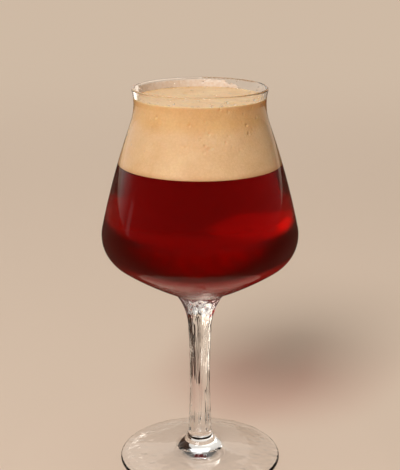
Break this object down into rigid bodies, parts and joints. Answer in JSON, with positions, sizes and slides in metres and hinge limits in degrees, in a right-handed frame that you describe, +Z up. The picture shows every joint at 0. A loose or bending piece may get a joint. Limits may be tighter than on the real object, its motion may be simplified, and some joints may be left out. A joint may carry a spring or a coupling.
{
  "type": "glass of barley wine",
  "caption": "Stemmed, tulip-shaped beer glass holding dark red barley wine under a thick tan foam head, standing on a broad round foot.",
  "frame": {"origin": "on the table, under the middle of the foot", "axes": "+Z up along the axis of the stem and bowl; X and Y are alike, because every piece is turned about Z"},
  "size_m": [0.095, 0.095, 0.19],
  "materials": {
    "clear_glass": "clear, polished, smooth blown glass",
    "dark_beer": "clear, very dark garnet red liquid",
    "beer_foam": "dense, creamy tan foam with fine bubbles"
  },
  "bodies": {
    "root": {"glass": "clear_glass", "beer": "dark_beer", "foam": "beer_foam"}
  },
  "joints": []
}
